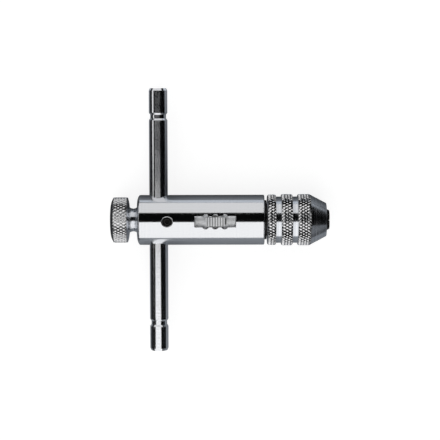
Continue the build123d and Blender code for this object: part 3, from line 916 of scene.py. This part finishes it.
blackened = black_oxide()
blackened_nodes = ("spindle", "jaw_upper", "jaw_lower", "detent_screw")
for name in blackened_nodes:
    paint(nodes[name], blackened)
print("blackened:", blackened_nodes)

# %% [markdown]
# The rest sits inside: hardened and ground working parts, spring wire and a few turned
# bronze pieces. They hardly show, but the model is opened and posed, so they get finishes of
# the same care: steel with a grain along its length, wire with a fine even grain, and bronze
# with a grain that runs round it, as turning leaves it.

# %% Ground steel, spring wire and bronze
def bare_metal(name, light, dark, stretch, blur, depth):
    """Unplated metal with a grain."""
    material, tree, shader, place = start_material(name)
    grain = group_node(tree, ground_grain, Place=place, Stretch=stretch)
    marks = group_node(tree, smudges, Place=place, Amount=1.0)
    tone = math_node(tree, "MAXIMUM", spread(tree, grain["Tone"], 0, 1), marks["Mask"])
    tree.links.new(mix_colours(tree, tone, light, dark), shader.inputs["Base Color"])
    tree.links.new(spread(tree, grain["Tone"], *blur), shader.inputs["Roughness"])
    bump(tree, shader, grain["Height"], depth)
    return material


hidden_finishes = {
    "hardened_steel": bare_metal(
        "ground steel", light=(0.55, 0.55, 0.56), dark=(0.40, 0.39, 0.38),
        stretch=(0.2, 1, 1), blur=(0.20, 0.34), depth=2e-6,
    ),
    "spring_steel": bare_metal(
        "spring wire", light=(0.50, 0.50, 0.52), dark=(0.30, 0.29, 0.28),
        stretch=(1, 1, 1), blur=(0.18, 0.30), depth=1e-6,
    ),
    "bearing_brass": bare_metal(
        "bearing bronze", light=(0.72, 0.52, 0.24), dark=(0.52, 0.36, 0.16),
        stretch=(3, 1, 1), blur=(0.22, 0.36), depth=2e-6,
    ),
}
for subpart in frame["record"]["subparts"]:
    if subpart["material_slot"] in hidden_finishes:
        paint(nodes[subpart["node"]], hidden_finishes[subpart["material_slot"]])
print("materials:", len(bpy.data.materials))

# %% [markdown]
# Chrome is lit by what it reflects. The barrel shows a broad white band on its lower half, a
# light grey band on its upper half and a black one between them: a bright soft box on the
# near side, a dimmer one on the far side and a dark gap overhead, where the camera looks
# through. Two large area lights give exactly that. A third on the left draws the thin bright
# line on the bar. They are soft and large, so the shadow under the tool is only a breath.
# From here on the sizes are the room's, in metres.

# %% Soft boxes
box_distance = 0.62


def area_light(name, middle, axes, width, height, brightness):
    """A rectangular lamp with its width and height on two axes, shining against the third."""
    data = bpy.data.lights.new(name, "AREA")
    data.shape = "RECTANGLE"
    data.size = width
    data.size_y = height
    data.energy = brightness * math.pi * data.size * data.size_y
    lamp = bpy.data.objects.new(name, data)
    bpy.context.scene.collection.objects.link(lamp)
    lamp.matrix_world = Matrix.Translation(middle) @ Matrix(axes).transposed().to_4x4()
    print(name, "of", round(width, 2), "by", round(height, 2), "m,", round(data.energy, 2), "W")


def leaning(degrees):
    """The (y, z) of a point that leans from straight up towards +Y, seen from the tool."""
    angle = math.radians(degrees)
    return box_distance * math.sin(angle), box_distance * math.cos(angle)


def soft_box(name, upper, lower, x_range, brightness):
    """A lamp along the tool, from an upper to a lower (y, z) edge."""
    middle = Vector((sum(x_range) / 2, (upper[0] + lower[0]) / 2, (upper[1] + lower[1]) / 2))
    down = Vector((0, lower[0] - upper[0], lower[1] - upper[1]))
    along = Vector((1, 0, 0))
    away = along.cross(down.normalized())
    if away.dot(middle) < 0:
        away = -away
    axes = (along, away.cross(along), away)
    area_light(name, middle, axes, x_range[1] - x_range[0], down.length, brightness)


def left_strip(x, y_range, z_range, brightness):
    """An upright lamp beyond the knob, shining along the tool."""
    middle = Vector((x, sum(y_range) / 2, sum(z_range) / 2))
    axes = ((0, -1, 0), (0, 0, 1), (-1, 0, 0))
    width = y_range[1] - y_range[0]
    height = z_range[1] - z_range[0]
    area_light("left strip", middle, axes, width, height, brightness)


near_box_foot = leaning(-86)
soft_box("near soft box", leaning(-5.4), near_box_foot, x_range=(-0.56, 0.18), brightness=1.05)
soft_box("far soft box", leaning(37.2), leaning(90), x_range=(-0.90, 0.30), brightness=0.76)
left_strip(x=-0.75, y_range=(-0.03, 0.4), z_range=(0.15, 0.42), brightness=0.9)

# %% [markdown]
# A photographer darkens what chrome must not show with black flags. They stand behind the
# soft boxes, overhead and at both ends, with two grey cards in one corner, and cards of
# several greys lie on the floor. The card on the far side of the tool fades from near black
# to grey, a painted shadow of the tool on the floor. Only reflections see them: the camera
# looks past them and the lamps shine through them, so they leave the light and the floor
# alone. The cards are matt and take the lamps' light as a real one would.

# %% Flags and floor cards
cool_tint = (0.94, 1.0, 1.08)


def cool(grey):
    """A grey with a little blue, as studio cards look beside white light."""
    return tuple(share * grey for share in cool_tint)


def card_cloth(name, grey, far_grey=None):
    """A matt material that may fade to a second grey along +Y."""
    material = bpy.data.materials.new(name)
    material.use_nodes = True
    tree = material.node_tree
    tree.nodes.remove(tree.nodes["Principled BSDF"])
    cloth = tree.nodes.new("ShaderNodeBsdfDiffuse")
    cloth.inputs["Color"].default_value = (*cool(grey), 1)
    if far_grey is not None:
        across = split_place(tree, tree.nodes.new("ShaderNodeTexCoord").outputs["Generated"])
        fade = mix_colours(tree, across["Y"], cool(grey), cool(far_grey))
        tree.links.new(fade, cloth.inputs["Color"])
    tree.links.new(cloth.outputs[0], tree.nodes["Material Output"].inputs["Surface"])
    return material


def flag(name, corners, grey, far_grey=None):
    """A card that only reflections see."""
    bm = bmesh.new()
    bm.faces.new([bm.verts.new(corner) for corner in corners])
    card = mesh_piece(name, bm)
    card.data.materials.append(card_cloth(name, grey, far_grey))
    card.visible_camera = False
    card.visible_diffuse = False
    card.visible_shadow = False
    return card


def level_card(name, x_range, y_range, z, grey, far_grey=None):
    """A card that lies or hangs level."""
    (x0, x1), (y0, y1) = x_range, y_range
    return flag(name, [(x0, y0, z), (x1, y0, z), (x1, y1, z), (x0, y1, z)], grey, far_grey)


def upright_card(name, start, end, heights, grey):
    """A card that stands on a line from one (x, y) point to another."""
    (x0, y0), (x1, y1), (z0, z1) = start, end, heights
    return flag(name, [(x0, y0, z0), (x1, y1, z0), (x1, y1, z1), (x0, y0, z1)], grey)


# %% The flags round the tool
left, right = -1.1, 1.1
near, far = -0.9, 0.9
room_heights = (-0.02, 0.75)
black = 0.004
corner_grey = 0.5
near_corner_x = 0.5
near_corner_y = -0.42
flags = [
    level_card("overhead flag", (left, right), (near, far), room_heights[1], black),
    upright_card("left flag", (left, near), (left, far), room_heights, black),
    upright_card("right flag", (right, near_corner_y), (right, far), room_heights, black),
    upright_card("far flag", (left, far), (right, far), room_heights, black),
    upright_card("near flag", (left, near), (near_corner_x, near), room_heights, black),
    upright_card("corner card", (near_corner_x, near), (right, near), room_heights, corner_grey),
    upright_card("corner end card", (right, near), (right, near_corner_y), room_heights,
                 corner_grey),
]
print("flags:", len(flags))

# %% The cards on the floor
card_gap = 0.00005
skirting_gap = 0.005
card_level = solid_box[0].z - card_gap
under_tool = (-0.085, 0.03)
left_of_tool = (left, under_tool[0])
right_of_tool = (under_tool[1], right)
shade_edge = 0.054
skirting_y = near_box_foot[0] + skirting_gap
skirting_heights = (card_level, near_box_foot[1])
cards = [
    upright_card("near skirting", (left, skirting_y), (right, skirting_y), skirting_heights,
                 grey=0.45),
    level_card("near floor card", under_tool, (near, 0.0), card_level, grey=0.32),
    # This card fades from near black by the tool to grey: a painted shadow of the tool on the
    # floor, as the barrel reflects it.
    level_card("painted shadow floor card", under_tool, (0.0, shade_edge), card_level, grey=0.07,
               far_grey=0.36),
    level_card("far floor card", under_tool, (shade_edge, far), card_level, grey=0.8),
    level_card("left floor card", left_of_tool, (near, far), card_level, grey=0.03),
    level_card("right floor card", right_of_tool, (near, shade_edge), card_level, grey=0.10),
    level_card("right far floor card", right_of_tool, (shade_edge, far), card_level, grey=0.5),
]
print("cards on the floor:", len(cards))

# %% [markdown]
# The floor and the world are white to the camera and in reflections, so the picture has a
# plain white ground and the metal may show it too, but the floor still darkens a little
# where the tool shades it. To all other light the floor is a pale grey board and the world a
# dim room, so the white ground doesn't light the tool.

# %% Floor and world
floor_size = 3.0
floor_gap = 0.0002
board_grey = 0.6
shaded_grey = 0.35
floor_glow = 0.80
room_level = 0.3


def seen_directly(tree):
    """1 for rays from the camera, the metal or glass, and 0 for all other light."""
    rays = tree.nodes.new("ShaderNodeLightPath").outputs
    seen = math_node(tree, "MAXIMUM", rays["Is Camera Ray"], rays["Is Transmission Ray"])
    return math_node(tree, "MAXIMUM", seen, rays["Is Glossy Ray"])


def matt_shader(tree, grey):
    """A plain matt shader of one grey."""
    node = tree.nodes.new("ShaderNodeBsdfDiffuse")
    node.inputs["Color"].default_value = (grey, grey, grey, 1)
    return node.outputs[0]


def floor_material():
    """A pale board that glows white where it is seen, under the shadow that falls on it."""
    material = bpy.data.materials.new("pale floor")
    material.use_nodes = True
    tree = material.node_tree
    tree.nodes.remove(tree.nodes["Principled BSDF"])
    board = matt_shader(tree, board_grey)
    glow = tree.nodes.new("ShaderNodeEmission")
    glow.inputs["Strength"].default_value = floor_glow
    white = tree.nodes.new("ShaderNodeAddShader")
    tree.links.new(matt_shader(tree, shaded_grey), white.inputs[0])
    tree.links.new(glow.outputs[0], white.inputs[1])
    choose = tree.nodes.new("ShaderNodeMixShader")
    tree.links.new(seen_directly(tree), choose.inputs[0])
    tree.links.new(board, choose.inputs[1])
    tree.links.new(white.outputs[0], choose.inputs[2])
    tree.links.new(choose.outputs[0], tree.nodes["Material Output"].inputs["Surface"])
    return material


def make_floor():
    """A square floor just under the tool."""
    bm = bmesh.new()
    corners = [(-1, -1), (1, -1), (1, 1), (-1, 1)]
    bm.faces.new([bm.verts.new((x * floor_size / 2, y * floor_size / 2, 0)) for x, y in corners])
    floor = mesh_piece("floor", bm)
    floor.location.z = solid_box[0].z - floor_gap
    floor.data.materials.append(floor_material())
    print("floor at", round(floor.location.z / mm, 2), "mm")


def make_world():
    """A world that is white where it is seen and dim as light."""
    world = bpy.data.worlds.new("studio")
    bpy.context.scene.world = world
    world.use_nodes = True
    tree = world.node_tree
    background = tree.nodes["Background"]
    extra = math_node(tree, "MULTIPLY", seen_directly(tree), 1 - room_level)
    level = math_node(tree, "ADD", extra, room_level)
    tree.links.new(level, background.inputs["Strength"])
    background.inputs["Color"].default_value = (1, 1, 1, 1)


make_floor()
make_world()
bpy.context.scene.view_settings.view_transform = "Standard"

# %% [markdown]
# The camera stands above the switch, far back with a long lens, and a few degrees towards the
# far end of the bar. That was worked out from the picture's outlines: how much the bar tapers,
# how the rims bulge, and where the window sits on the barrel. The values here, in millimetres
# and degrees, are the turn of the camera, its distance, its scale, and the pixel where one
# point of the tool falls.

# %% Camera
image_size = 440
sensor = 36.0
camera_distance = 579.5
pixels_per_mm = 2.6264
reference_point = Vector((-36.0, 0, 0))
reference_pixel = (234.5, 219.74)
camera_turns = (4.96, -0.2, 0.12)


def make_camera():
    """The camera that shows the reference point at its pixel."""
    turn_x, turn_y, turn_z = (math.radians(a) for a in camera_turns)
    turned = (Matrix.Rotation(turn_z, 3, "Z") @ Matrix.Rotation(turn_y, 3, "Y")
              @ Matrix.Rotation(turn_x, 3, "X"))
    across = (reference_pixel[0] - image_size / 2) / pixels_per_mm
    down = (reference_pixel[1] - image_size / 2) / pixels_per_mm
    place = reference_point + turned.transposed() @ Vector((-across, down, camera_distance))
    data = bpy.data.cameras.new("camera")
    data.sensor_width = sensor
    data.lens = pixels_per_mm * camera_distance / image_size * sensor
    camera = bpy.data.objects.new("camera", data)
    bpy.context.scene.collection.objects.link(camera)
    camera.matrix_world = Matrix.Translation(place * mm) @ turned.transposed().to_4x4()
    bpy.context.scene.camera = camera
    print("camera at", [round(v) for v in place], "mm, lens", round(data.lens), "mm")


make_camera()
